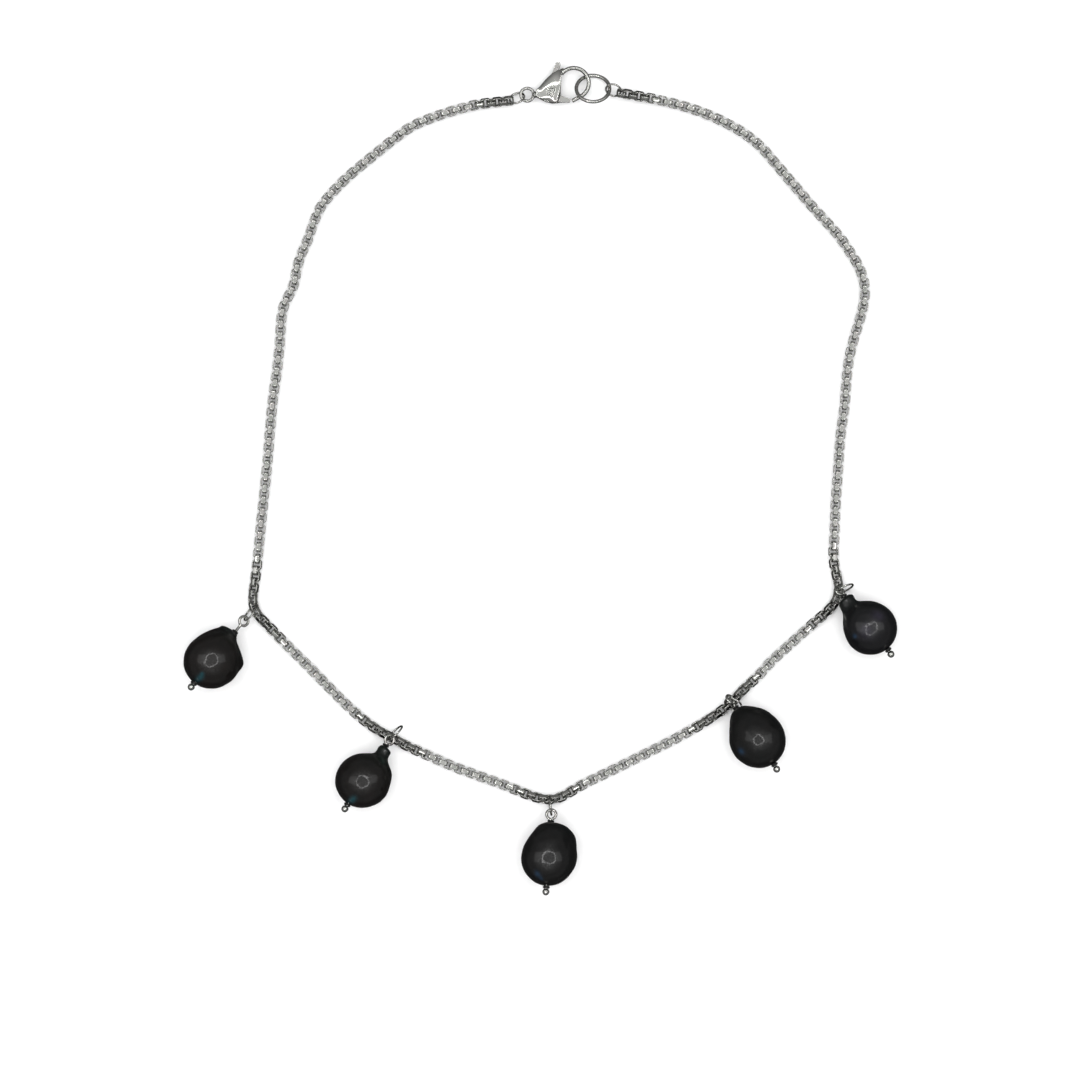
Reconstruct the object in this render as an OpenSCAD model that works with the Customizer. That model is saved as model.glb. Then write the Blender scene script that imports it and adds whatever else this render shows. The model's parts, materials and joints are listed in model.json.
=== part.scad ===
// Pearl necklace: a rounded box chain closed by a lobster clasp, with five
// baroque pearl drops hung from its lower half. Millimetres, +Z up. The
// necklace lies on the plane z = 0 with the clasp at the top (+Y), and the
// origin is the middle of its footprint.

/* [Chain] */
// Outer length and width of one chain link
link_size = 2.1; // [2.05:0.01:2.15]
// Thickness of the strip that a link is bent from
link_strip = 0.28; // [0.26:0.01:0.32]
// Width of that strip
link_band = 0.92; // [0.8:0.02:1.0]
// Distance from a link that carries a drop to the links beside it
drop_link_pitch = 1.37; // [1.34:0.01:1.38]
// Height of the chain's middle above the table
chain_height = 1.15; // [1.15:0.01:1.25]

/* [Drops] */
// Outer diameter of a drop's jump ring
jump_ring_od = 4.2; // [4:0.1:4.4]
// Wire diameter of a drop's jump ring
jump_ring_wire = 0.42; // [0.38:0.01:0.44]
// Outer diameter of a headpin's eye
eye_od = 2.6; // [2.6:0.05:2.8]
// Wire diameter of a headpin
pin_wire = 0.64; // [0.5:0.02:0.68]
// Diameter of a headpin's ball end
ball_d = 1.5; // [1.3:0.1:1.8]
// Diameter of the hole drilled through a pearl
pearl_bore = 0.8; // [0.76:0.01:0.84]
// Diameter of the stopper beads
bead_d = 1.5; // [1.2:0.1:1.8]

/* [Clasp] */
// Thickness of the clasp body at its mouth
clasp_thick = 3.0; // [2.8:0.1:3.4]
// Radius of the hook's wire line
hook_r = 3.22; // [3.1:0.02:3.3]
// Diameter of the hook's wire
hook_wire = 0.88; // [0.8:0.02:0.92]
// Outer diameter of the closing ring
closing_od = 7.9; // [7.6:0.1:8.2]
// Wire diameter of the closing ring
closing_wire = 0.8; // [0.7:0.05:0.85]

/* [Hidden] */
$fn = 32;
UP = [0, 0, 1];
// Gap that lets one solid move beside another
CLEARANCE = 0.05;
// Gap that keeps a pressed pair from sharing a face
FIT = 0.01;

function two_digits(n) = n < 10 ? str("0", n) : str(n);
function unit(v) = v / norm(v);
function direction(azimuth, elevation) =
    [cos(elevation) * cos(azimuth), cos(elevation) * sin(azimuth), sin(elevation)];
function azimuth_of(v) = atan2(v.y, v.x);
function elevation_of(v) = asin(v.z / norm(v));
// Turn about v that brings a level crosswise line onto w
function roll_of(v, w) =
    let (level = unit(cross(UP, v)))
    atan2(w * cross(unit(v), level), w * level);

// Moves a shape drawn along +X to a point, along v, turned about v by roll
module placed(point, v, roll = 0)
    translate(point) rotate([roll, -elevation_of(v), azimuth_of(v)]) children();

// Round wire bent to a full ring in the XY plane
module wire_ring(radius, wire)
    rotate_extrude() translate([radius, 0]) circle(d = wire);

// ---- chain route ----------------------------------------------------------
// Points that the chain passes, from the clasp down the left side, along the
// five drops and up the right side to the closing ring.
ROUTE = [
    [-6.75, 80.5], [-12.9, 79.8], [-17.2, 78.8], [-21.5, 77.5], [-27.2, 75.2],
    [-31.4, 72.3], [-36, 68.6], [-40.7, 64.7], [-44.6, 60.8], [-47.1, 57.6], [-48.5, 54.4],
    [-49.9, 50.4], [-51.3, 47.2], [-52.1, 44.6], [-52.4, 42.3], [-53.3, 39.8],
    [-54.5, 37.6], [-55.2, 35.2], [-55.5, 32.4], [-55.7, 28.7], [-56.3, 23], [-57.1, 17.3],
    [-57.8, 10.2], [-58.3, 3.8], [-59.1, -4], [-59.9, -11.8], [-60.6, -19], [-61.2, -23.5],
    [-61.4, -25.3], [-61.4, -26.6], [-61.1, -27.8], [-60.6, -28.95], [-59.8, -29.95],
    [-57.7, -32.1], [-54.2, -35.7], [-51, -38.9], [-47.8, -42.1], [-44.3, -45.7],
    [-41, -48.9], [-37.8, -51.7], [-34.7, -53.9], [-31.4, -55.7], [-28.3, -57.4],
    [-24.3, -59.2], [-18.6, -61.7], [-12.9, -63.8], [-7.9, -65.6], [-2.9, -67.6],
    [0.1, -68.5], [2.5, -68.7], [4.8, -68], [7.2, -66.6], [9.9, -65.1], [14.1, -63.1],
    [18.4, -61], [23.4, -58.5], [28.4, -56], [33.4, -53.2], [37.6, -50.5], [40.7, -48.1],
    [43.3, -45.3], [46.3, -42.5], [49.7, -38.9], [54, -35], [58.3, -31.1], [61.4, -28.4],
    [63.1, -26.2], [63.7, -23.8], [63.4, -21.5], [62.8, -18.8], [62.6, -15.8],
    [62.8, -12.6], [63.1, -5.4], [63.6, 1.7], [64.1, 8.8], [64.9, 14.5], [65.3, 19.5],
    [65.8, 24.5], [66.7, 28.7], [67.9, 32.7], [68.8, 35.9], [69.3, 38.8], [69.1, 41.9],
    [68.1, 44.9], [66.1, 48.3], [63.3, 52.2], [59, 56.9], [54.7, 61.9], [50.5, 66.8],
    [46.9, 70.9], [43.3, 73.7], [39.8, 75.7], [35.5, 77.7], [30.5, 79.4], [25.5, 80.6],
    [21.3, 81.4], [17.3, 82.05]
];
ROUTE_STEPS = 8;

function around(list, i) = list[max(0, min(len(list) - 1, i))];
// Catmull-Rom curve through b and c, with a and d beside them
function curve(a, b, c, d, t) =
    0.5 * (2 * b + (c - a) * t + (2 * a - 5 * b + 4 * c - d) * t * t
        + (3 * b - a - 3 * c + d) * t * t * t);
PATH = [
    for (i = [0 : len(ROUTE) - 2], k = [0 : ROUTE_STEPS - 1])
        curve(around(ROUTE, i - 1), ROUTE[i], ROUTE[i + 1], around(ROUTE, i + 2),
            k / ROUTE_STEPS),
    ROUTE[len(ROUTE) - 1]
];
PATH_AT = [
    for (i = 0, s = 0; i < len(PATH); s = s + norm(around(PATH, i + 1) - PATH[i]), i = i + 1) s
];
X_AT = [for (i = [0 : len(PATH) - 1]) [PATH_AT[i], PATH[i].x]];
Y_AT = [for (i = [0 : len(PATH) - 1]) [PATH_AT[i], PATH[i].y]];

// ---- links ----------------------------------------------------------------
LINKS = 338;
LAST_LINK = LINKS - 1;
// The link that carries each drop
DROP_LINKS = [107, 139, 168, 202, 229];
// First link of each chain node: eight along each arm, nine across the drops
ARM_LINKS = 101;
ARM_NODES = 8;
SEGMENT_STARTS = concat(
    [for (k = [0 : ARM_NODES - 1]) round(k * ARM_LINKS / ARM_NODES)],
    [101, 115, 131, 145, 161, 176, 194, 209, 222],
    [for (k = [0 : ARM_NODES]) LINKS - ARM_LINKS + round(k * ARM_LINKS / ARM_NODES)]
);
SEGMENTS = len(SEGMENT_STARTS) - 1;
LINK_CORNER = 0.55;
LINK_INNER_CORNER = LINK_CORNER - link_strip;

function is_drop_link(i) = len(search(i, DROP_LINKS)) > 0;
// The other links share what the drop links leave of the route
link_pitch = (PATH_AT[len(PATH_AT) - 1] - 2 * len(DROP_LINKS) * drop_link_pitch)
    / (LAST_LINK - 2 * len(DROP_LINKS));
function pitch_after(i) = is_drop_link(i) || is_drop_link(i + 1) ? drop_link_pitch : link_pitch;
LINK_AT = [for (i = 0, s = 0; i < LINKS; s = s + pitch_after(i), i = i + 1) s];
// The chain rises from the table towards the clasp and the closing ring
LIFT_RUN = 10;
LINK_HEIGHT = [
    [0, chain_height + 0.4], [LIFT_RUN, chain_height],
    [LAST_LINK - LIFT_RUN, chain_height], [LAST_LINK, chain_height + 0.95]
];
function link_point(i) =
    [lookup(LINK_AT[i], X_AT), lookup(LINK_AT[i], Y_AT), lookup(i, LINK_HEIGHT)];
function link_heading(i) =
    unit(link_point(min(i + 1, LAST_LINK)) - link_point(max(i - 1, 0)));
// Every second link stands on edge
function link_roll(i) = (i % 2) * 90 + lookup(i, LINK_TWIST);

module rounded_square(size, corner) {
    square([size, size - 2 * corner], center = true);
    square([size - 2 * corner, size], center = true);
    for (x = [-1, 1], y = [-1, 1])
        translate([x, y] * (size / 2 - corner)) circle(corner);
}

module link()
    linear_extrude(link_band, center = true)
        difference() {
            rounded_square(link_size, LINK_CORNER);
            rounded_square(link_size - 2 * link_strip, LINK_INNER_CORNER);
        }

module chain_segment(s)
    color("silver")
        for (i = [SEGMENT_STARTS[s - 1] : SEGMENT_STARTS[s] - 1])
            placed(link_point(i), link_heading(i), link_roll(i)) link();

// ---- pearl drops ----------------------------------------------------------
// One value per drop, in the order that the chain meets them
RING_AZIMUTH = [-117, 35, -80, 20, 35];
RING_ELEVATION = [29, 33, 42, 43, 29];
RING_ROLL = [7, -1, 3, 4, 6];
// Where the headpin hangs on its ring, in degrees from the chain link
HANG_ANGLE = [149, 62, 182, 256, 286];
PIN_AZIMUTH = [-128, -123, -94, -56, -51];
// Bare wire between the headpin's eye and the top bead
SHANK = [1.6, 0, 0, 0.6, 0];
PEARL_HEIGHT = [14, 14.7, 13.6, 14.3, 14.4];
PEARL_RADIUS = [5.95, 5.8, 5.85, 5.95, 5.62];
NECK_RADIUS = [1.9, 1.5, 1.6, 0.9, 1.8];
// How far the body reaches above its middle, and how pointed it is there
SHOULDER_REACH = [6.8, 6.1, 8.2, 8.8, 6.1];
SHOULDER_POWER = [0.5, 0.5, 0.6, 0.85, 0.5];
DROPS = len(DROP_LINKS);
DROP_HEIGHT_STEPS = 36;

RING_R = (jump_ring_od - jump_ring_wire) / 2;
// Bending the eye thins its wire
EYE_WIRE = 0.94 * pin_wire;
EYE_R = (eye_od - EYE_WIRE) / 2;
// The ring's wire lies this far from the middle of the eye
EYE_SLACK = 0.3;
TOP_BEAD_THICK = 0.4;
BOTTOM_BEAD_THICK = 0.6;
// Distances along the pin from the middle of its eye
function top_bead_at(k) = eye_od / 2 + SHANK[k];
function pearl_at(k) = top_bead_at(k) + TOP_BEAD_THICK + CLEARANCE;
function bottom_bead_at(k) = pearl_at(k) + PEARL_HEIGHT[k] + CLEARANCE;
function ball_at(k) = bottom_bead_at(k) + BOTTOM_BEAD_THICK + ball_d / 2 + FIT;

// The ring's direction away from its chain link, and its wire's line there
function ring_away(k) = direction(RING_AZIMUTH[k], RING_ELEVATION[k]);
function ring_square(k) = unit(cross(link_heading(DROP_LINKS[k]), ring_away(k)));
function ring_wire_line(k) =
    cos(RING_ROLL[k]) * ring_square(k) - sin(RING_ROLL[k]) * cross(ring_square(k), ring_away(k));
function ring_centre(k) = link_point(DROP_LINKS[k]) + RING_R * ring_away(k);
// The point of the ring where the headpin hangs, and the wire's line there
function hang_point(k) = ring_centre(k)
    + RING_R * (sin(HANG_ANGLE[k]) * ring_wire_line(k) - cos(HANG_ANGLE[k]) * ring_away(k));
function hang_line(k) =
    cos(HANG_ANGLE[k]) * ring_wire_line(k) + sin(HANG_ANGLE[k]) * ring_away(k);

// The carrying link's hole faces along the ring's wire
function half_turn(angle) = angle - 180 * round(angle / 180);
function drop_twist(k) =
    let (i = DROP_LINKS[k], w = ring_square(k), side = cross(UP, link_heading(i)))
    half_turn(atan2(-w * side, w.z) - (i % 2) * 90);
DROP_TWIST = [for (k = [0 : DROPS - 1]) drop_twist(k)];

// How far the links are rolled about the chain, by link number
END_TWIST = -45;
TWIST_RUN = 9;
LINK_TWIST = concat(
    [[0, END_TWIST], [TWIST_RUN, 0]],
    [for (k = [0 : 4], n = [-1 : 1])
        [DROP_LINKS[k] + n * TWIST_RUN, n == 0 ? DROP_TWIST[k] : 0]],
    [[LAST_LINK - TWIST_RUN, 0], [LAST_LINK, END_TWIST]]
);

// A pearl is round below its middle and drawn out to a neck above it:
// [distance from its top, radius] pairs
function pearl_radius_at(k, depth) =
    let (middle = PEARL_HEIGHT[k] - PEARL_RADIUS[k],
        reach = depth < middle ? SHOULDER_REACH[k] : PEARL_RADIUS[k],
        inside = max(0, 1 - pow((depth - middle) / reach, 2)),
        body = PEARL_RADIUS[k] * pow(inside, depth < middle ? SHOULDER_POWER[k] : 0.5),
        neck = NECK_RADIUS[k] * exp(-pow(depth / middle, 4)))
    pow(pow(body, 3) + pow(neck, 3), 1 / 3);
function pearl_profile(k) = [
    for (n = [0 : DROP_HEIGHT_STEPS])
        let (depth = PEARL_HEIGHT[k] * (1 - cos(180 * n / DROP_HEIGHT_STEPS)) / 2)
        [depth, pearl_radius_at(k, depth)]
];

// Height of the pearl's lowest point when the pin rises by tilt from the eye
function pearl_low(k, profile, tilt) = hang_point(k).z + min([
    for (p = profile) (EYE_SLACK + pearl_at(k) + p[0]) * sin(tilt) - p[1] * cos(tilt)
]);
MAX_TILT = 40;
TILT_ROUNDS = 24;
function resting_tilt(k, profile, low = 0, high = MAX_TILT, rounds = TILT_ROUNDS) =
    let (middle = (low + high) / 2)
    rounds == 0 ? middle
        : pearl_low(k, profile, middle) < 0
            ? resting_tilt(k, profile, middle, high, rounds - 1)
            : resting_tilt(k, profile, low, middle, rounds - 1);
PIN_LINE = [
    for (k = [0 : DROPS - 1]) direction(PIN_AZIMUTH[k], resting_tilt(k, pearl_profile(k)))
];
function eye_centre(k) = hang_point(k) + EYE_SLACK * PIN_LINE[k];
// The eye's flat side faces along the ring's wire as nearly as the pin lets it
function eye_roll(k) = roll_of(PIN_LINE[k], cross(hang_line(k), PIN_LINE[k]));

module along_pin(k, distance)
    placed(eye_centre(k) + distance * PIN_LINE[k], PIN_LINE[k], eye_roll(k)) children();

module jump_ring(k)
    color("silver")
        placed(ring_centre(k), ring_away(k), roll_of(ring_away(k), ring_wire_line(k)))
            wire_ring(RING_R, jump_ring_wire);

module headpin(k)
    color("silver") {
        along_pin(k, 0) wire_ring(EYE_R, EYE_WIRE);
        along_pin(k, EYE_R) rotate([0, 90, 0]) cylinder(d = pin_wire, h = ball_at(k) - EYE_R);
        along_pin(k, ball_at(k)) sphere(d = ball_d);
    }

module bead(thickness)
    color([0.1, 0.1, 0.11]) rotate([0, 90, 0]) rotate_extrude() difference() {
        union() {
            square([(bead_d - thickness) / 2, thickness]);
            translate([(bead_d - thickness) / 2, thickness / 2]) circle(d = thickness);
        }
        translate([0, -1]) square([pin_wire / 2 + FIT, thickness + 2]);
    }

module top_bead(k) along_pin(k, top_bead_at(k)) bead(TOP_BEAD_THICK);
module bottom_bead(k) along_pin(k, bottom_bead_at(k)) bead(BOTTOM_BEAD_THICK);

module pearl(k)
    color([0.12, 0.13, 0.13]) along_pin(k, pearl_at(k)) rotate([0, 90, 0])
        difference() {
            rotate_extrude($fn = 64)
                polygon(concat([[0, 0]], [for (p = pearl_profile(k)) [p[1], p[0]]]));
            translate([0, 0, -1]) cylinder(d = pearl_bore, h = PEARL_HEIGHT[k] + 2);
        }

// ---- clasp ----------------------------------------------------------------
// The clasp is drawn flat with its tail eye at the origin and its mouth on +X
CLASP_AT = [-2.83, 81.78, 1.7];
TAIL_R = 1.375;
TAIL_WIRE = 0.7;
NECK_D = 1.3;
NECK_THICK = 1.6;
BODY_START = 1.9;
MOUTH_X = 7.8;
PIVOT = [4.66, 0.43];
PIVOT_PIN_D = 0.9;
PIVOT_PIN_LENGTH = 2.36;
HOOK_CENTRE = [9.93, 2.48];
HOOK_START = -62;
HOOK_SWEEP = 206;
CLAW_LENGTH = 2.1;
LEVER_THICK = 0.8;
SLOT = 1.0;
BOSS_R = 1.0;
GATE_R = 4.9;
BODY_OUTLINE = [
    [1.9, 0.95], [2.7, 1.75], [3.8, 3.1], [5.3, 4.5], [6.6, 5.25], [7.8, 5.65],
    [7.45, 4.9], [7.25, 2.8], [7.1, 0], [6.9, -1.75],
    [5.3, -1.88], [3.8, -1.5], [2.7, -0.9], [1.9, -0.45]
];
// The body's cross-section, rounded towards its edges
BODY_MIDDLE_Y = 1.9;
BODY_HALF_WIDTH = 3.95;
BODY_ROUND = 1.15;
LEVER_OUTLINE = [
    [4.0, -0.35], [5.6, -1.3], [6.6, -1.7], [9.9, -1.72], [9.9, -1.15], [7.6, -0.35],
    [5.75, 0.5], [6.5, 4.3], [7.15, 6.35], [6.95, 6.85], [6.5, 7.0], [6.1, 6.75],
    [5.5, 5.1], [3.8, 1.05]
];
SLOT_OUTLINE = [
    [3.4, 0.1], [3.9, -0.65], [5.2, -1.55], [6.1, -2.5], [8.2, -2.5], [8.2, 0.65],
    [6.7, 0.75], [6.15, 1.2], [6.75, 3.9], [7.0, 5.1], [7.1, 6.2], [4.1, 6.2],
    [3.35, 3.4], [3.25, 1.2]
];
// The lever's tab is thicker outside the body
TAB_START_Y = 5.75;
TAB_THICK = 1.0;
DIMPLE_DEPTH = 0.18;
DIMPLE = [[3.55, 1.25], [5.95, 1.15], [5.3, -0.75]];
SPRING_WIRE = 0.22;
SPRING_R = 0.72;
SPRING_Z = 0.3;

module in_clasp() translate(CLASP_AT) children();
module at_pivot() translate(PIVOT) children();

module hook() {
    translate(HOOK_CENTRE) {
        rotate_extrude(angle = HOOK_SWEEP, start = HOOK_START)
            translate([hook_r, 0]) circle(d = hook_wire);
        rotate([0, 0, HOOK_START]) translate([hook_r, 0, 0])
            rotate([90, 0, 0]) cylinder(d = hook_wire, h = CLAW_LENGTH);
    }
}

module clasp_blank()
    intersection() {
        linear_extrude(clasp_thick + 1, center = true) polygon(BODY_OUTLINE);
        // thin at the neck, full thickness at the mouth
        rotate([90, 0, 0]) linear_extrude(20, center = true) polygon([
            [BODY_START, -NECK_THICK / 2], [MOUTH_X, -clasp_thick / 2],
            [MOUTH_X, clasp_thick / 2], [BODY_START, NECK_THICK / 2]
        ]);
        rotate([90, 0, 90]) linear_extrude(20, center = true) translate([BODY_MIDDLE_Y, 0]) {
            square([2 * BODY_HALF_WIDTH, clasp_thick - 2 * BODY_ROUND], center = true);
            square([2 * (BODY_HALF_WIDTH - BODY_ROUND), clasp_thick], center = true);
            for (x = [-1, 1], y = [-1, 1])
                translate([x * (BODY_HALF_WIDTH - BODY_ROUND), y * (clasp_thick / 2 - BODY_ROUND)])
                    circle(BODY_ROUND);
        }
    }

module clasp_body()
    color("silver") in_clasp() difference() {
        union() {
            wire_ring(TAIL_R, TAIL_WIRE);
            translate([TAIL_R, 0, 0]) rotate([0, 90, 0]) cylinder(d = NECK_D, h = 1);
            clasp_blank();
            hook();
        }
        linear_extrude(SLOT, center = true) {
            polygon(SLOT_OUTLINE);
            at_pivot() circle(BOSS_R + 0.25);
        }
        // the claw ends clear of the gate's tip
        linear_extrude(clasp_thick, center = true) intersection() {
            at_pivot() circle(GATE_R + 2 * CLEARANCE, $fn = 96);
            translate([MOUTH_X, -3]) square([4, 4]);
        }
        at_pivot() cylinder(d = PIVOT_PIN_D + 2 * FIT, h = 4, center = true);
        for (side = [-1, 1])
            translate([0, 0, side * (PIVOT_PIN_LENGTH / 2 + 1 - DIMPLE_DEPTH)])
                linear_extrude(2, center = true) polygon(DIMPLE);
    }

module clasp_lever()
    color("silver") in_clasp() difference() {
        union() {
            linear_extrude(LEVER_THICK, center = true) intersection() {
                union() {
                    polygon(LEVER_OUTLINE);
                    at_pivot() circle(BOSS_R);
                }
                // the gate's tip is an arc about the pivot
                union() {
                    at_pivot() circle(GATE_R, $fn = 96);
                    translate([0, 1]) square([MOUTH_X, 8]);
                }
            }
            linear_extrude(TAB_THICK, center = true) intersection() {
                polygon(LEVER_OUTLINE);
                translate([5, TAB_START_Y]) square([3, 3]);
            }
        }
        at_pivot() cylinder(d = PIVOT_PIN_D + 2 * CLEARANCE, h = 4, center = true);
        // recess that the spring lies in
        at_pivot() translate([0, 0, SPRING_Z - SPRING_WIRE / 2 - CLEARANCE])
            cylinder(r = BOSS_R + CLEARANCE, h = 2);
    }

module lever_pin()
    color("silver") in_clasp() at_pivot()
        cylinder(d = PIVOT_PIN_D, h = PIVOT_PIN_LENGTH, center = true);

// One turn of wire round the pin, with a leg against the slot's end
module lever_spring()
    color("silver") in_clasp() at_pivot() translate([0, 0, SPRING_Z]) {
        wire_ring(SPRING_R, SPRING_WIRE);
        translate([-SPRING_R, 0, 0]) rotate([0, -90, 0]) cylinder(d = SPRING_WIRE, h = 0.4);
    }

// ---- rings at the ends of the chain ---------------------------------------
CLOSING_AT = [11.2, 83, 2.37];
CLOSING_TILT = -33;
CLOSING_R = (closing_od - closing_wire) / 2;
END_RING_R = 1.6;
END_RING_WIRE = 0.45;
END_RING_ROLL = 46;
// Points on the wires that the end rings hang on
TAIL_HANG = CLASP_AT
    + TAIL_R * unit([link_point(0).x - CLASP_AT.x, link_point(0).y - CLASP_AT.y, 0]);
CLOSING_HANG = CLOSING_AT + [CLOSING_R, 0, 0];
function end_ring_line(hang, i) = unit(link_point(i) - hang);
function end_ring_centre(hang, wire, i) = hang
    + (END_RING_R - (wire + END_RING_WIRE) / 2 - 2 * CLEARANCE) * end_ring_line(hang, i);

module end_ring(hang, wire, i)
    color("silver")
        placed(end_ring_centre(hang, wire, i), end_ring_line(hang, i), END_RING_ROLL)
            wire_ring(END_RING_R, END_RING_WIRE);
module end_ring_left() end_ring(TAIL_HANG, TAIL_WIRE, 0);
module end_ring_right() end_ring(CLOSING_HANG, closing_wire, LAST_LINK);

module closing_ring()
    color("silver") translate(CLOSING_AT) rotate([CLOSING_TILT, 0, 0])
        wire_ring(CLOSING_R, closing_wire);

// ---- parts ----------------------------------------------------------------
DROP_NUMBERS = [1 : DROPS];

for (s = [1 : SEGMENTS])
    chain_segment(s);
for (k = DROP_NUMBERS) {
    jump_ring(k - 1);
    headpin(k - 1);
    top_bead(k - 1);
    pearl(k - 1);
    bottom_bead(k - 1);
}
clasp_body();
clasp_lever();
lever_pin();
lever_spring();
end_ring_left();
end_ring_right();
closing_ring();
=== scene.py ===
import json
import math

import bpy
import numpy as np
from mathutils import Matrix, Vector, noise


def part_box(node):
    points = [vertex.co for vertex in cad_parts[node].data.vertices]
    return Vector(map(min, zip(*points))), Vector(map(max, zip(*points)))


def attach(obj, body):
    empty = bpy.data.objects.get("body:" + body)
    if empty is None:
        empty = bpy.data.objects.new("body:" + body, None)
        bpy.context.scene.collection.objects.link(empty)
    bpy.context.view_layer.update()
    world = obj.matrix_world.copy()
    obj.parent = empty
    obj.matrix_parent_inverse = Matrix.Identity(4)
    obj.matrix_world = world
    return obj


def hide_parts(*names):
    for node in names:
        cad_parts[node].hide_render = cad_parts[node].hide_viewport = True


# A pearl drop necklace lying on a pale floor, seen from straight above.
# Every piece is rebuilt finely around the CAD node of its name, in metres.
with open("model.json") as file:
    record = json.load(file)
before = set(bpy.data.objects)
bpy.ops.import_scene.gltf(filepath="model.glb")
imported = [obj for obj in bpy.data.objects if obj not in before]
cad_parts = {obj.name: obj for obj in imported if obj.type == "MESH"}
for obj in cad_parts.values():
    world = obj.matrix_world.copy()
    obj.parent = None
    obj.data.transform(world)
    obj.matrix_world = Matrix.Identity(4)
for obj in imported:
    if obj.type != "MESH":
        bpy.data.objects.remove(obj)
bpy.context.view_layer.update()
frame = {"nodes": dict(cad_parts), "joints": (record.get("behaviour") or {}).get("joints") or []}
NODES = frame["nodes"]
JOINTS = {joint["name"]: joint for joint in frame["joints"]}
MM = 0.001
DROPS = range(1, 6)
SEGMENTS = range(1, 26)

# ---- camera ---------------------------------------------------------------
CAMERA_AT = Vector((-0.0001, -0.0133, 1.0))
VIEW_WIDTH = 0.2307
CHAIN_HEIGHT = 1.15 * MM
SENSOR = 36

camera_data = bpy.data.cameras.new("camera")
camera_data.sensor_width = SENSOR
camera_data.lens = SENSOR * (CAMERA_AT.z - CHAIN_HEIGHT) / VIEW_WIDTH
camera_data.clip_start = 0.01
camera = bpy.data.objects.new("camera", camera_data)
camera.location = CAMERA_AT
bpy.context.collection.objects.link(camera)
bpy.context.scene.camera = camera
bpy.context.scene.view_settings.view_transform = "Standard"


# ---- small tools ----------------------------------------------------------
def unit(v):
    """The vector at length 1."""
    return v / np.linalg.norm(v)


def rounded_rectangle(width, height, corner, steps=4):
    """Points round a section, anticlockwise: width across, height along the path's normal."""
    points = []
    for turn, sx, sy in ((0, 1, 1), (90, -1, 1), (180, -1, -1), (270, 1, -1)):
        for k in range(steps + 1):
            a = math.radians(turn + 90 * k / steps)
            x = sx * (width / 2 - corner) + corner * math.cos(a)
            y = sy * (height / 2 - corner) + corner * math.sin(a)
            points.append((x, y))
    return np.array(points)


def circle_section(diameter, sides=16):
    return rounded_rectangle(diameter, diameter, diameter / 2 * 0.999, sides // 4 - 1)


def sweep(path, section, closed):
    """A section carried along a flat path: vertices and faces, the path's normal being +Z."""
    path = np.asarray(path, float)
    count = len(path)
    ahead = np.roll(path, -1, axis=0)
    behind = np.roll(path, 1, axis=0)
    if not closed:
        ahead[-1] = 2 * path[-1] - path[-2]
        behind[0] = 2 * path[0] - path[1]
    along = ahead - behind
    along /= np.linalg.norm(along, axis=1)[:, None]
    outward = np.stack([along[:, 1], -along[:, 0]], axis=1)
    sides = len(section)
    vertices = np.zeros((count, sides, 3))
    vertices[:, :, :2] = path[:, None] + outward[:, None] * section[None, :, :1]
    vertices[:, :, 2] = section[None, :, 1]
    faces = []
    for i in range(count if closed else count - 1):
        for j in range(sides):
            a = i * sides + j
            b = i * sides + (j + 1) % sides
            c = (i + 1) % count * sides + (j + 1) % sides
            d = (i + 1) % count * sides + j
            faces.append((a, d, c, b))
    vertices = vertices.reshape(-1, 3)
    if not closed:
        for i, flip in ((0, False), (count - 1, True)):
            middle = len(vertices)
            vertices = np.vstack([vertices, [path[i][0], path[i][1], 0]])
            for j in range(sides):
                a, b = i * sides + j, i * sides + (j + 1) % sides
                faces.append((b, a, middle) if flip else (a, b, middle))
    return vertices, faces


def lathe(profile, sides=48):
    """A closed profile of (radius, height) pairs turned about +Z."""
    turns = np.radians(np.arange(sides) * 360 / sides)
    vertices = np.array([
        (r * math.cos(t), r * math.sin(t), z) for t in turns for r, z in profile
    ])
    count = len(profile)
    faces = []
    for i in range(sides):
        for j in range(count):
            a = i * count + j
            b = i * count + (j + 1) % count
            c = (i + 1) % sides * count + (j + 1) % count
            d = (i + 1) % sides * count + j
            faces.append((a, b, c, d))
    return vertices, faces


def placed(shape, centre, x, z):
    """Moves a shape drawn about the origin so that its +X and +Z lie along x and z."""
    vertices, faces = shape
    z = unit(np.asarray(z, float))
    x = np.asarray(x, float)
    x = unit(x - (x @ z) * z)
    y = np.cross(z, x)
    return vertices @ np.array([x, y, z]) + np.asarray(centre, float), faces


def joined(shapes):
    """Several shapes as one."""
    vertices, faces, start = [], [], 0
    for more_vertices, more_faces in shapes:
        vertices.append(more_vertices)
        faces += [tuple(start + i for i in face) for face in more_faces]
        start += len(more_vertices)
    return np.vstack(vertices), faces


def add_piece(name, shape, material, body, slot, *nodes):
    """Makes an object of a shape in millimetres that stands for CAD nodes and rides on a body."""
    vertices, faces = shape
    mesh = bpy.data.meshes.new(name)
    mesh.from_pydata((vertices * MM).tolist(), [], faces)
    mesh.validate()
    mesh.shade_smooth()
    mesh.materials.append(material)
    piece = bpy.data.objects.new(name, mesh)
    bpy.context.collection.objects.link(piece)
    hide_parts(*nodes)
    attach(piece, body)
    return piece


def node_points(name):
    """The CAD node's vertices, in millimetres."""
    mesh = NODES[name].data
    points = np.empty(len(mesh.vertices) * 3)
    mesh.vertices.foreach_get("co", points)
    return points.reshape(-1, 3) / MM


def flat_frame(points):
    """Centre, one in-plane direction and normal of a flat, symmetric set of points."""
    middle = points.mean(axis=0)
    axes = np.linalg.svd(points - middle, full_matrices=False)[2]
    spread = (points - middle) @ axes.T
    centre = middle + (spread.max(axis=0) + spread.min(axis=0)) / 2 @ axes
    return centre, axes[0], axes[2]


# ---- materials ------------------------------------------------------------
SCRATCH_SCALE = 9000
SCRATCH_DEPTH = 0.02 * MM
NACRE_GRAIN = 0.03 * MM


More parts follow.
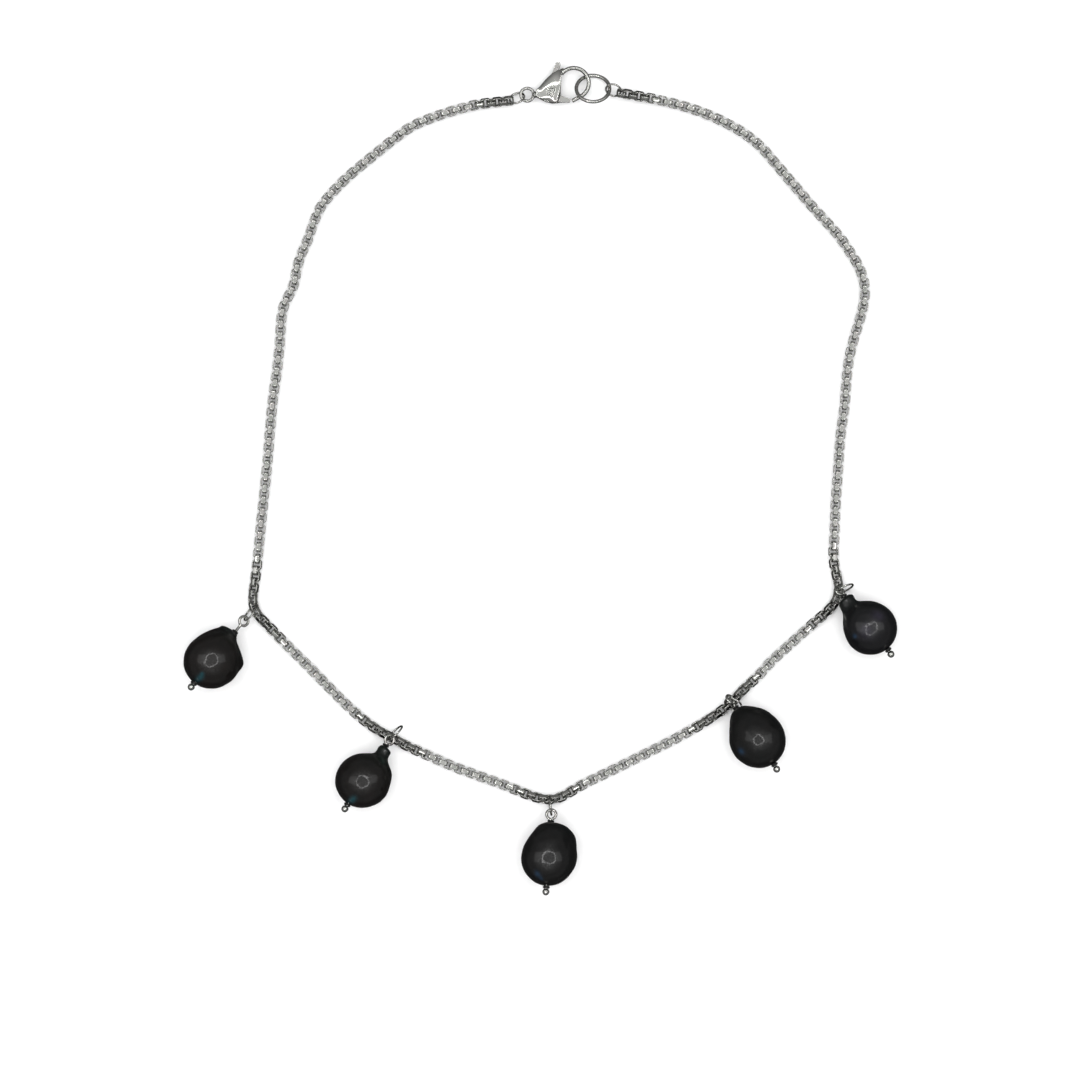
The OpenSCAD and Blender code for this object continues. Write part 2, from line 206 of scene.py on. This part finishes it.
def new_material(name, **values):
    """A node material with the given sockets of its shader set."""
    material = bpy.data.materials.new(name)
    material.use_nodes = True
    shader = material.node_tree.nodes["Principled BSDF"]
    for socket, value in values.items():
        shader.inputs[socket.replace("_", " ")].default_value = value
    return material, material.node_tree, shader


def noise_node(tree, scale, detail=3.0, roughness=0.5):
    """Noise over the object's own coordinates."""
    coordinates = tree.nodes.new("ShaderNodeTexCoord")
    texture = tree.nodes.new("ShaderNodeTexNoise")
    texture.inputs["Scale"].default_value = scale
    texture.inputs["Detail"].default_value = detail
    texture.inputs["Roughness"].default_value = roughness
    tree.links.new(coordinates.outputs["Object"], texture.inputs["Vector"])
    return texture


def ramp_node(tree, source, stops):
    """A colour ramp over a value: pairs of a position and a colour."""
    ramp = tree.nodes.new("ShaderNodeValToRGB")
    elements = ramp.color_ramp.elements
    elements[0].position, elements[0].color = stops[0][0], (*stops[0][1], 1)
    elements[1].position, elements[1].color = stops[-1][0], (*stops[-1][1], 1)
    for position, colour in stops[1:-1]:
        elements.new(position).color = (*colour, 1)
    tree.links.new(source, ramp.inputs["Fac"])
    return ramp


def add_bump(tree, shader, height, strength, distance):
    bump = tree.nodes.new("ShaderNodeBump")
    bump.inputs["Strength"].default_value = strength
    bump.inputs["Distance"].default_value = distance
    tree.links.new(height, bump.inputs["Height"])
    tree.links.new(bump.outputs["Normal"], shader.inputs["Normal"])


def grey(value):
    return (value, value, value)


def steel_material(name, light, dark, roughness, patch, wear):
    """Polished steel: faint green and pink patches, uneven polish and fine scratches."""
    material, tree, shader = new_material(name, Metallic=1.0)
    patches = noise_node(tree, patch)
    tint = ramp_node(tree, patches.outputs["Fac"], [
        (0.3, (dark, dark * 1.03, dark * 0.96)), (0.5, (light, light * 1.01, light * 0.96)),
        (0.7, (light * 1.02, light * 0.98, light * 0.95)),
    ])
    tree.links.new(tint.outputs["Color"], shader.inputs["Base Color"])
    polish = noise_node(tree, patch * 4)
    shine = ramp_node(tree, polish.outputs["Fac"], [
        (0.3, grey(roughness * 0.6)), (0.75, grey(roughness * 1.6)),
    ])
    tree.links.new(shine.outputs["Color"], shader.inputs["Roughness"])
    scratches = noise_node(tree, SCRATCH_SCALE, 4, 0.6)
    add_bump(tree, shader, scratches.outputs["Fac"], wear, SCRATCH_DEPTH)
    return material


def pearl_material():
    """Dark nacre under a clear skin. Its tint is painted on the vertices, by place on the pearl."""
    material, tree, shader = new_material(
        "nacre", Coat_Weight=0.55, Coat_Roughness=0.1, Coat_IOR=1.6, Specular_IOR_Level=0.32)
    tint = tree.nodes.new("ShaderNodeAttribute")
    tint.attribute_name = "tint"
    clouds = noise_node(tree, 420, 4, 0.6)
    shade = ramp_node(tree, clouds.outputs["Fac"], [
        (0.3, (0.62, 0.7, 0.68)), (0.5, grey(1.0)), (0.72, (1.35, 1.2, 1.15)),
    ])
    mix = tree.nodes.new("ShaderNodeMix")
    mix.data_type = "RGBA"
    mix.blend_type = "MULTIPLY"
    mix.inputs["Factor"].default_value = 1.0
    tree.links.new(tint.outputs["Color"], mix.inputs["A"])
    tree.links.new(shade.outputs["Color"], mix.inputs["B"])
    tree.links.new(mix.outputs["Result"], shader.inputs["Base Color"])
    skin = noise_node(tree, 900, 5, 0.6)
    soft = ramp_node(tree, skin.outputs["Fac"], [(0.3, grey(0.34)), (0.7, grey(0.5))])
    tree.links.new(soft.outputs["Color"], shader.inputs["Roughness"])
    add_bump(tree, shader, skin.outputs["Fac"], 0.25, NACRE_GRAIN)
    return material


def bead_material():
    """Nearly black, with a faint uneven sheen."""
    material, tree, shader = new_material("black_bead", Specular_IOR_Level=0.4)
    clouds = noise_node(tree, 2500)
    shade = ramp_node(tree, clouds.outputs["Fac"], [(0.3, grey(0.004)), (0.7, grey(0.016))])
    tree.links.new(shade.outputs["Color"], shader.inputs["Base Color"])
    soft = ramp_node(tree, clouds.outputs["Fac"], [(0.3, grey(0.3)), (0.7, grey(0.5))])
    tree.links.new(soft.outputs["Color"], shader.inputs["Roughness"])
    return material


CHAIN_STEEL = steel_material(
    "chain_steel", light=0.64, dark=0.52, roughness=0.13, patch=700, wear=0.07)
FITTING_STEEL = steel_material(
    "fitting_steel", light=0.68, dark=0.56, roughness=0.1, patch=260, wear=0.06)
NACRE = pearl_material()
BLACK = bead_material()

# ---- chain ----------------------------------------------------------------
LINK_SIZE = 2.1
LINK_STRIP = 0.28
LINK_BAND = 0.92
LINK_CORNER = 0.55
LINK_EDGE = 0.125
WELD_DISTANCE = 0.001


def islands(name):
    """The separate solids of a node, each as its own points."""
    points = node_points(name)
    keys = np.round(points / WELD_DISTANCE).astype(np.int64)
    weld = np.unique(keys, axis=0, return_inverse=True)[1].ravel()
    parent = list(range(weld.max() + 1))

    def root(i):
        while parent[i] != i:
            parent[i] = parent[parent[i]]
            i = parent[i]
        return i

    for edge in NODES[name].data.edges:
        a, b = root(weld[edge.vertices[0]]), root(weld[edge.vertices[1]])
        if a != b:
            parent[a] = b
    groups = {}
    for i, w in enumerate(weld):
        groups.setdefault(root(w), []).append(i)
    return [points[group] for group in groups.values()]


def link_shape():
    """One link: a flat strip with softly rounded edges, bent to a rounded square."""
    side = LINK_SIZE - LINK_STRIP
    path = rounded_rectangle(side, side, LINK_CORNER - LINK_STRIP / 2, 7)
    return sweep(path, rounded_rectangle(LINK_STRIP, LINK_BAND, LINK_EDGE), True)


LINK = link_shape()
links = []
tail = node_points("end_ring_left").mean(axis=0)
for s in SEGMENTS:
    found = [flat_frame(points) for points in islands(f"chain_{s:02d}")]
    while found:
        nearest = min(range(len(found)), key=lambda i: np.linalg.norm(found[i][0] - tail))
        centre, _, normal = found.pop(nearest)
        links.append((s, centre, normal))
        tail = centre

for s in SEGMENTS:
    shapes = []
    for i, (owner, centre, normal) in enumerate(links):
        if owner == s:
            ahead = links[min(i + 1, len(links) - 1)][1] - links[max(i - 1, 0)][1]
            shapes.append(placed(LINK, centre, ahead, normal))
    name = f"chain_{s:02d}"
    add_piece(f"links_{s:02d}", joined(shapes), CHAIN_STEEL, name, "chain_steel", name)


# ---- rings ----------------------------------------------------------------
def arc(radius, start, end, steps=96):
    turns = np.radians(np.linspace(start, end, steps))
    return [(radius * math.cos(t), radius * math.sin(t)) for t in turns]


# Rings are drawn this much thinner than in the CAD, which keeps them off the links they tip against
EASE = 0.03
SEAM = 0.03
WIRE_SIDES = 20


def split_ring(name, wire, seam_at):
    """A ring of round wire whose ends meet at a fine seam, in place of a CAD ring."""
    points = node_points(name)
    centre, _, normal = flat_frame(points)
    if normal[2] < 0:
        normal = -normal
    outer = np.linalg.norm(points - centre, axis=1).max()
    radius = outer - wire / 2
    gap = math.degrees(SEAM / radius)
    section = circle_section(wire - EASE, WIRE_SIDES)
    ring = sweep(arc(radius, gap / 2, 360 - gap / 2), section, False)
    x = np.array([math.cos(math.radians(seam_at)), math.sin(math.radians(seam_at)), 0])
    return add_piece(f"{name}_wire", placed(ring, centre, x, normal), FITTING_STEEL,
                     name, "fitting_steel", name)


JUMP_RING_WIRE = 0.42
END_RING_WIRE = 0.45
CLOSING_WIRE = 0.8
RING_SEAM_AT = {1: -160, 2: 100, 3: 160, 4: 20, 5: 140}
for k in DROPS:
    split_ring(f"jump_ring_{k}", JUMP_RING_WIRE, RING_SEAM_AT[k])
split_ring("end_ring_left", END_RING_WIRE, 60)
split_ring("end_ring_right", END_RING_WIRE, 110)
split_ring("closing_ring", CLOSING_WIRE, -75)

# ---- headpins, beads and pearls -------------------------------------------
PIN_WIRE = 0.6
EYE_OD = 2.6
BALL_D = 1.5
# Where the eye's wire leaves the shaft: the gap, the shaft's end, the bend, and the eye's far end
EYE_SEAM = 0.12
EYE_REACH = 0.25
BEND_BULGE = 0.1
BEND_TURN = 30
BEND_STEPS = 6
EYE_END = 342
BEAD_D = 1.5
BEAD_BORE = 0.68
BEAD_CHAMFER = 0.06
PEARL_BORE = 0.8


class Drop:
    """The pin's line, and how far along it each piece of the drop lies, in millimetres."""

    def __init__(self, k):
        joint = JOINTS[f"pearl_{k}_spin"]
        self.along = unit(np.array(joint["axis"], float))
        self.origin = np.array(joint["pos_m"], float) / MM
        up = np.array([0, 0, 1.0])
        self.up = unit(up - (up @ self.along) * self.along)
        self.side = np.cross(self.up, self.along)

    def reach(self, node):
        depth = (node_points(node) - self.origin) @ self.along
        return depth.min(), depth.max()

    def at(self, depth):
        return self.origin + depth * self.along


def headpin_shape(shaft):
    """Wire bent to an eye about the origin, its shaft running along +X to a ball."""
    radius = (EYE_OD - PIN_WIRE) / 2
    # the eye's wire leaves the shaft's line in a short bend and comes round to it again
    start = math.degrees(EYE_SEAM / radius)
    bend = np.radians(np.linspace(start, start + BEND_TURN, BEND_STEPS + 1))
    path = [(x, 0) for x in np.linspace(shaft, radius + EYE_REACH, 24)]
    path += [(radius * math.cos(a) + BEND_BULGE * (1 - k / BEND_STEPS), radius * math.sin(a))
             for k, a in enumerate(bend)]
    path += arc(radius, start + BEND_TURN + 4, EYE_END, 72)
    wire = sweep(path, circle_section(PIN_WIRE, WIRE_SIDES), False)
    ball = BALL_D / 2
    profile = [(ball * math.sin(a) * (1 - 0.02 * math.cos(3 * a)), -ball * math.cos(a))
               for a in np.radians(np.linspace(1.5, 178.5, 30))]
    vertices, faces = lathe(profile, 40)
    turned = np.stack([vertices[:, 2], vertices[:, 1], -vertices[:, 0]], axis=1)
    return joined([wire, (turned + [shaft, 0, 0], faces)])


def bead_shape(thickness):
    """A bead with a round rim and a chamfered bore, standing on z = 0."""
    rim = (BEAD_D - thickness) / 2
    bore = BEAD_BORE / 2
    mouth = bore + BEAD_CHAMFER
    profile = [(mouth, 0.0), (rim, 0.0)]
    profile += [(rim + thickness / 2 * math.sin(a), thickness / 2 * (1 - math.cos(a)))
                for a in np.radians(np.arange(12, 180, 12))]
    profile += [(rim, thickness), (mouth, thickness)]
    profile += [(bore, thickness - BEAD_CHAMFER), (bore, BEAD_CHAMFER)]
    return lathe(profile)


# Humps and hollows of each pearl: depth from its top, turn from its upper side
# towards the right of someone looking up the pin, spread and height, in millimetres
# and degrees.
FORMS = {
    1: [(4.4, 84, 1.5, 0.75), (3.5, 55, 0.9, -0.3), (3.3, -50, 1.5, -0.35), (1.2, -80, 1.6, 0.5),
        (6.4, 72, 0.9, -0.12)],
    2: [(3.6, 88, 1.7, 0.75), (3.9, 22, 0.8, -0.3), (4.9, 52, 0.9, -0.25), (3.1, 46, 0.7, 0.3),
        (2.9, -85, 1.2, -0.3), (5.2, 12, 0.7, 0.12)],
    3: [(2.6, 90, 2.3, 0.85), (3.4, -90, 2.2, -0.5), (12.4, 66, 1.0, -0.4), (13.2, 30, 0.8, -0.2),
        (8.0, 95, 2.2, 0.2)],
    4: [(3.4, 90, 2.2, 0.35), (3.2, -90, 2.0, -0.2), (1.5, -100, 0.8, 0.15)],
    5: [(2.3, -88, 1.7, 0.55), (2.4, 92, 1.2, -0.4), (9.6, -34, 0.5, -0.1), (10.4, -28, 0.4, -0.08)],
}
# How far the neck stands to the side of the pin, and over what depth it does
NECK_SHIFT = {1: (-0.85, 2.6), 2: (0.35, 2.5), 3: (0.25, 3.0), 4: (0.0, 1.0), 5: (-0.1, 3.0)}
# Pearl tints: body, neck, and spots at a depth and turn
BODY_TINT = {1: (0.0032, 0.0023, 0.0019), 2: (0.0032, 0.0024, 0.0021), 3: (0.0023, 0.0023, 0.0024),
             4: (0.0023, 0.0024, 0.0024), 5: (0.0025, 0.0026, 0.0034)}
NECK_TINT = {1: (0.0016, 0.0028, 0.0026), 2: (0.0014, 0.0034, 0.0026), 3: (0.0014, 0.0020, 0.0022),
             4: (0.0018, 0.0020, 0.0020), 5: (0.0016, 0.0028, 0.0026)}
NECK_TINT_DEPTH = {1: 3.4, 2: 4.6, 3: 3.0, 4: 2.5, 5: 4.0}
TEAL = (0.003, 0.036, 0.046)
BLUE = (0.004, 0.018, 0.040)
VIOLET = (0.013, 0.011, 0.020)
GREEN = (0.003, 0.010, 0.007)
SPOTS = {
    1: [(13.3, 8, 0.6, TEAL), (12.7, 4, 0.35, TEAL)],
    2: [(14.0, 8, 0.65, TEAL), (3.6, 25, 0.7, GREEN)],
    3: [(11.9, -30, 0.6, BLUE), (12.6, -22, 0.35, BLUE)],
    4: [(9.0, -48, 0.7, BLUE)],
    5: [(8.6, -42, 0.5, BLUE), (8.4, 30, 1.2, VIOLET), (9.4, -14, 1.4, VIOLET)],
}
PEARL_RINGS = 150
PEARL_SIDES = 160
PROFILE_STEPS = 400
# How far the hollow between the neck and the body spreads, and how it is averaged and fades out
NECK_BLEND = 0.8
BLEND_REACH = np.linspace(-2, 2, 41)
BLEND_FADE = 2.0
# The skin's least distance from the bore before lumps, and the depth of the bore's mouths
LIP = 0.1
MOUTH = 0.1
# Over what depth the neck's shift and the lumps set in, from an end
SHIFT_FADE = 0.5
LUMP_FADE = 1.5
# Unevenness of the skin: the noise's scale per millimetre, and its height
LUMPS = ((0.22, 0.2), (0.7, 0.045))


def pearl_profile(drop, node):
    """Depth and radius of the CAD pearl's skin, read off its rings, with its neck blended in."""
    points = node_points(node)
    depth = (points - drop.origin) @ drop.along
    radius = np.linalg.norm(points - drop.origin - depth[:, None] * drop.along, axis=1)
    levels = np.unique(np.round(depth, 2))
    radii = np.array([radius[np.abs(depth - level) < 0.02].max() for level in levels])
    fine = np.linspace(levels[0], levels[-1], PROFILE_STEPS)
    skin = np.interp(fine, levels, radii)
    blur = [np.interp(fine + step * NECK_BLEND, fine, skin) for step in BLEND_REACH]
    blended = np.average(blur, axis=0, weights=np.exp(-BLEND_REACH ** 2))
    widest = fine[skin.argmax()]
    # the blend fades out towards the widest place, so the round end keeps its shape
    share = np.clip((widest - fine) / BLEND_FADE, 0, 1)
    return fine, skin + share * (blended - skin)


def near(depth, turn, radius, spot_depth, spot_turn, spread):
    """1 at a spot on the pearl's skin, fading to 0 over the spread."""
    across = radius * math.sin(math.radians(turn - spot_turn) / 2) * 2
    return math.exp(-((depth - spot_depth) ** 2 + across ** 2) / spread ** 2)


def pearl_shape(k, drop):
    """A baroque pearl with its drilled hole: vertices, faces and a tint for each vertex."""
    levels, radii = pearl_profile(drop, f"pearl_{k}")
    top, bottom = levels[0], levels[-1]
    height = bottom - top
    shift, shift_depth = NECK_SHIFT[k]
    hole = PEARL_BORE / 2
    vertices, tints = [], []
    for i in range(PEARL_RINGS + 1):
        t = 0.5 - 0.5 * math.cos(math.pi * i / PEARL_RINGS)
        depth = height * t
        skin = np.interp(top + depth, levels, radii)
        # round the neck's flat top and close both ends down to the hole
        edge = min(0.9, 0.55 * radii[0]) + 0.05
        if depth < edge:
            skin *= math.sqrt(max(0.0, 1 - (1 - depth / edge) ** 2))
        skin = max(skin, hole + LIP)
        aside = shift * math.exp(-(depth / shift_depth) ** 2) * min(1.0, depth / SHIFT_FADE)
        for j in range(PEARL_SIDES):
            turn = 360 * j / PEARL_SIDES
            a = math.radians(turn)
            grown = skin
            for spot in FORMS[k]:
                grown += spot[3] * near(depth, turn, skin, *spot[:3])
            away = math.cos(a) * drop.up + math.sin(a) * drop.side
            ends = min(1.0, depth / LUMP_FADE, (height - depth) / LUMP_FADE)
            place = drop.at(top + depth) + grown * away
            lump = sum(noise.noise(Vector(place * rate)) * size for rate, size in LUMPS)
            grown = max(hole + LIP * 0.6, grown + lump * ends)
            vertices.append(drop.at(top + depth) + aside * drop.side + grown * away)
            neck = math.exp(-(depth / NECK_TINT_DEPTH[k]) ** 2)
            tint = (1 - neck) * np.array(BODY_TINT[k]) + neck * np.array(NECK_TINT[k])
            for spot_depth, spot_turn, spread, colour in SPOTS[k]:
                amount = near(depth, turn, skin, spot_depth, spot_turn, spread)
                tint = (1 - amount) * tint + amount * np.array(colour)
            tints.append(tint)
    for depth in (height - MOUTH, height * 0.5, MOUTH):
        for j in range(PEARL_SIDES):
            a = 2 * math.pi * j / PEARL_SIDES
            away = math.cos(a) * drop.up + math.sin(a) * drop.side
            vertices.append(drop.at(top + depth) + hole * away)
            tints.append(np.array(NECK_TINT[k]))
    rings = PEARL_RINGS + 4
    faces = []
    for i in range(rings):
        for j in range(PEARL_SIDES):
            a = i * PEARL_SIDES + j
            b = i * PEARL_SIDES + (j + 1) % PEARL_SIDES
            c = (i + 1) % rings * PEARL_SIDES + (j + 1) % PEARL_SIDES
            d = (i + 1) % rings * PEARL_SIDES + j
            faces.append((a, d, c, b))
    return np.array(vertices), faces, tints


def paint(piece, tints):
    """Stores a tint for each vertex, which the nacre reads."""
    attribute = piece.data.color_attributes.new("tint", "FLOAT_COLOR", "POINT")
    values = np.ones((len(tints), 4))
    values[:, :3] = tints
    attribute.data.foreach_set("color", values.ravel())


for k in DROPS:
    drop = Drop(k)
    eye_start, ball_end = drop.reach(f"headpin_{k}")
    eye_at = eye_start + EYE_OD / 2
    eye_points = node_points(f"headpin_{k}")
    eye_points = eye_points[(eye_points - drop.origin) @ drop.along < eye_at]
    _, _, eye_normal = flat_frame(np.vstack([eye_points, 2 * drop.at(eye_at) - eye_points]))
    pin = headpin_shape(ball_end - BALL_D / 2 - eye_at)
    add_piece(f"pin_{k}", placed(pin, drop.at(eye_at), drop.along, eye_normal), FITTING_STEEL,
              f"headpin_{k}", "fitting_steel", f"headpin_{k}")
    for bead in ("top_bead", "bottom_bead"):
        start, end = drop.reach(f"{bead}_{k}")
        shape = placed(bead_shape(end - start), drop.at(start), drop.up, drop.along)
        add_piece(f"{bead}_{k}_round", shape, BLACK, f"headpin_{k}", "bead", f"{bead}_{k}")
    vertices, faces, tints = pearl_shape(k, drop)
    pearl = add_piece(f"nacre_{k}", (vertices, faces), NACRE, f"pearl_{k}", "pearl", f"pearl_{k}")
    paint(pearl, tints)


# ---- clasp ----------------------------------------------------------------
def polished(name, voxel, rounds, body):
    """A cast and tumbled piece: the CAD solid with all its edges softly rounded."""
    source = NODES[name]
    piece = bpy.data.objects.new(f"{name}_cast", source.data.copy())
    bpy.context.collection.objects.link(piece)
    weld = piece.modifiers.new("weld", "WELD")
    weld.merge_threshold = WELD_DISTANCE * MM
    remesh = piece.modifiers.new("remesh", "REMESH")
    remesh.mode = "VOXEL"
    remesh.voxel_size = voxel * MM
    smooth = piece.modifiers.new("smooth", "SMOOTH")
    smooth.factor = 0.5
    smooth.iterations = rounds
    shaped = piece.evaluated_get(bpy.context.evaluated_depsgraph_get())
    mesh = bpy.data.meshes.new_from_object(shaped)
    piece.modifiers.clear()
    piece.data = mesh
    mesh.shade_smooth()
    mesh.materials.clear()
    mesh.materials.append(FITTING_STEEL)
    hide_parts(name)
    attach(piece, body)
    return piece


def smoothstep(value, start, end):
    """0 at the start and 1 at the end, with level ends."""
    t = np.clip((value - start) / (end - start), 0, 1)
    return t * t * (3 - 2 * t)


# The outline's measuring stations and the curve through them, and how fast the doming sets in
STATION_STEP = 0.25
OUTLINE_DEGREE = 4
DOME_FADE_IN = 1.0
DOME_FADE_OUT = 0.4


def dome(piece, start, end, fullness):
    """Thins a casting towards its outline, between two distances from the clasp's tail eye."""
    tail = np.array(JOINTS["clasp_swing"]["pos_m"], float)
    points = np.empty(len(piece.data.vertices) * 3)
    piece.data.vertices.foreach_get("co", points)
    offset = (points.reshape(-1, 3) - tail) / MM
    along = offset[:, 0]
    stations = np.arange(start, end, STATION_STEP)
    slices = [offset[np.abs(along - x) < STATION_STEP / 2, 1] for x in stations]
    lowest = [cut.min() for cut in slices]
    highest = [cut.max() for cut in slices]
    low = np.polyval(np.polyfit(stations, lowest, OUTLINE_DEGREE), along)
    high = np.polyval(np.polyfit(stations, highest, OUTLINE_DEGREE), along)
    across = np.clip((2 * offset[:, 1] - low - high) / (high - low), -1, 1)
    thinned = np.sqrt(1 - (fullness * across) ** 2)
    there = smoothstep(along, start, start + DOME_FADE_IN)
    there = there * smoothstep(-along, -end, DOME_FADE_OUT - end)
    offset[:, 2] *= 1 - there * (1 - thinned)
    piece.data.vertices.foreach_set("co", (offset * MM + tail).ravel())
    piece.data.update()


cast_body = polished("clasp_body", voxel=0.075, rounds=16, body="clasp")
dome(cast_body, start=1.9, end=7.8, fullness=0.85)
polished("clasp_lever", voxel=0.06, rounds=6, body="lever")

RIVET_D = 0.9
RIVET_DOME = 0.1
RIVET_CORE = 0.01
RIVET_STEPS = 5
low, high = (np.array(corner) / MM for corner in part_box("lever_pin"))
rivet_at = (low + high) / 2
half_length = (high[2] - low[2]) / 2
rivet_profile = [(RIVET_CORE, -half_length)]
for z_side in (-1, 1):
    for step in range(RIVET_STEPS + 1):
        share = step / RIVET_STEPS
        a = math.radians(90 * (share if z_side < 0 else 1 - share))
        rivet_profile.append((
            RIVET_D / 2 - RIVET_DOME * (1 - math.sin(a)),
            z_side * (half_length - RIVET_DOME * (1 - math.cos(a))),
        ))
rivet_profile.append((RIVET_CORE, half_length))
add_piece("rivet", placed(lathe(rivet_profile), rivet_at, (1, 0, 0), (0, 0, 1)), FITTING_STEEL,
          "clasp", "fitting_steel", "lever_pin")

SPRING_WIRE = 0.22
SPRING_R = 0.72
SPRING_TURN = 168
low, high = (np.array(corner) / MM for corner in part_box("lever_spring"))
spring_at = np.array([high[0] - SPRING_R - SPRING_WIRE / 2, rivet_at[1], (low[2] + high[2]) / 2])
leg = spring_at[0] - low[0]
coil = arc(SPRING_R, -SPRING_TURN, SPRING_TURN, 60)
# the leg runs from the coil's end to the spring's far end, level with the coil's centre
leg_side = SPRING_R * math.sin(math.radians(SPRING_TURN))
coil += [(-x, leg_side * (1 - (x - SPRING_R) / (leg - SPRING_R)))
         for x in np.linspace(SPRING_R + 0.02, leg, 6)]
spring = sweep(coil, circle_section(SPRING_WIRE, 12), False)
add_piece("spring_wire", placed(spring, spring_at, (1, 0, 0), (0, 0, 1)), FITTING_STEEL,
          "clasp", "fitting_steel", "lever_spring")

# ---- floor and light ------------------------------------------------------
FLOOR_SIZE = 6.0
FLOOR_GREY = 0.93
LAMP_SIDES = 128


def add_floor():
    """The plain pale floor at z = 0, which the metal doesn't mirror."""
    half = FLOOR_SIZE / 2
    mesh = bpy.data.meshes.new("floor")
    corners = [(-half, -half, 0), (half, -half, 0), (half, half, 0), (-half, half, 0)]
    mesh.from_pydata(corners, [], [(0, 1, 2, 3)])
    material, _, shader = new_material("floor", Roughness=1.0, Specular_IOR_Level=0.0)
    shader.inputs["Base Color"].default_value = (*grey(FLOOR_GREY), 1)
    mesh.materials.append(material)
    floor = bpy.data.objects.new("floor", mesh)
    bpy.context.collection.objects.link(floor)
    floor.visible_glossy = False


def add_ring_light(radius, width, height, strength):
    """A ring lamp round the camera, which pearls show as a small bright ring."""
    circle = arc(radius, 0, 360 - 360 / LAMP_SIDES, LAMP_SIDES)
    vertices, faces = sweep(circle, circle_section(width, 8), True)
    mesh = bpy.data.meshes.new("ring_lamp")
    mesh.from_pydata(vertices.tolist(), [], faces)
    material = bpy.data.materials.new("ring_lamp")
    material.use_nodes = True
    tree = material.node_tree
    tree.nodes.remove(tree.nodes["Principled BSDF"])
    glow = tree.nodes.new("ShaderNodeEmission")
    glow.inputs["Strength"].default_value = strength
    output = next(node for node in tree.nodes if node.type == "OUTPUT_MATERIAL")
    tree.links.new(glow.outputs["Emission"], output.inputs["Surface"])
    mesh.materials.append(material)
    lamp = bpy.data.objects.new("ring_lamp", mesh)
    lamp.location = (CAMERA_AT.x, CAMERA_AT.y, height)
    lamp.visible_camera = False
    bpy.context.collection.objects.link(lamp)


def add_area_light(name, place, size, power):
    """A soft box aimed at the origin."""
    data = bpy.data.lights.new(name, "AREA")
    data.shape = "RECTANGLE"
    data.size, data.size_y = size
    data.energy = power
    light = bpy.data.objects.new(name, data)
    light.location = place
    light.rotation_euler = (-Vector(place)).to_track_quat("-Z", "Y").to_euler()
    bpy.context.collection.objects.link(light)


def add_sun(name, strength, spread):
    """Soft light from above that fills the floor and makes no highlight."""
    data = bpy.data.lights.new(name, "SUN")
    data.energy = strength
    data.angle = math.radians(spread)
    light = bpy.data.objects.new(name, data)
    light.visible_glossy = False
    bpy.context.collection.objects.link(light)


def set_world(levels):
    """A dim room that is brightest overhead: pairs of a direction's height and its grey."""
    world = bpy.data.worlds.new("room")
    world.use_nodes = True
    bpy.context.scene.world = world
    tree = world.node_tree
    coordinates = tree.nodes.new("ShaderNodeTexCoord")
    split = tree.nodes.new("ShaderNodeSeparateXYZ")
    tree.links.new(coordinates.outputs["Generated"], split.inputs["Vector"])
    height = tree.nodes.new("ShaderNodeMapRange")
    height.inputs["From Min"].default_value = -1.0
    tree.links.new(split.outputs["Z"], height.inputs["Value"])
    stops = [((z + 1) / 2, grey(value)) for z, value in levels]
    colour = ramp_node(tree, height.outputs["Result"], stops)
    tree.links.new(colour.outputs["Color"], tree.nodes["Background"].inputs["Color"])


add_floor()
add_ring_light(radius=0.45, width=0.055, height=1.0, strength=7.5)
add_area_light("left_box", place=(-0.75, 0.1, 0.8), size=(0.6, 0.6), power=0.65)
add_area_light("right_box", place=(0.75, 0.1, 0.8), size=(0.6, 0.6), power=0.65)
add_sun("fill", strength=2.8, spread=120)
set_world([(-0.35, 0.04), (0.0, 0.19), (0.4, 0.15), (0.72, 0.28), (0.94, 0.6), (1.0, 0.65)])
